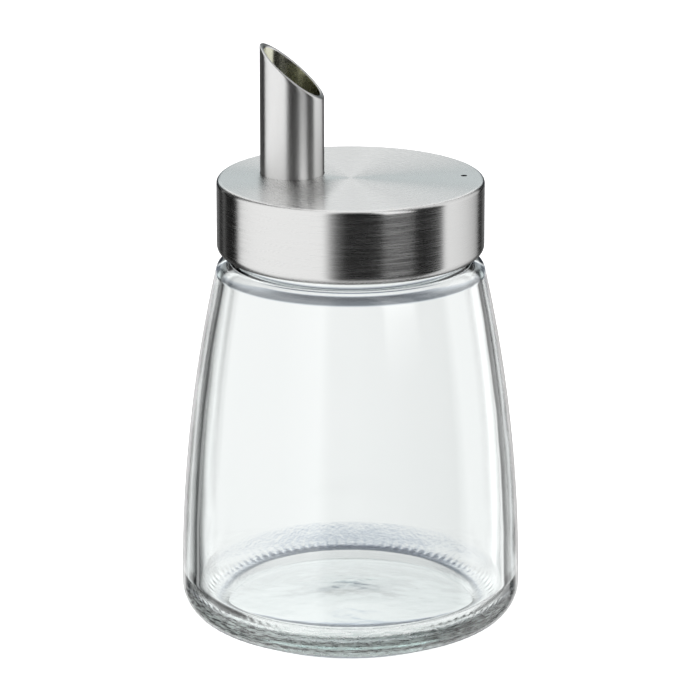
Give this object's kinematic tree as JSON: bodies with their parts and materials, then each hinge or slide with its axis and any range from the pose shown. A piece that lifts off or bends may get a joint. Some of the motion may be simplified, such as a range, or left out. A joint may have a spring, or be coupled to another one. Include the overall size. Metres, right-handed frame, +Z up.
{
  "type": "glass and steel pouring jar",
  "caption": "Empty clear glass dispenser jar with a flared foot, a brushed steel cap, a slant-cut pouring tube and a small vent hole.",
  "frame": {"origin": "centre of the foot ring's underside, on the jar's axis", "axes": "+Z up along the jar's axis; the pouring tube stands on the -X side and the vent hole on the +X side; the picture looks along +Y"},
  "size_m": [0.08, 0.08, 0.139],
  "materials": {
    "glass": "clear, polished",
    "lid_steel": "finely brushed round the axis",
    "tube_steel": "satin"
  },
  "bodies": {
    "root": {"glass_jar": "glass", "lid": "lid_steel", "spout": "tube_steel"}
  },
  "joints": []
}
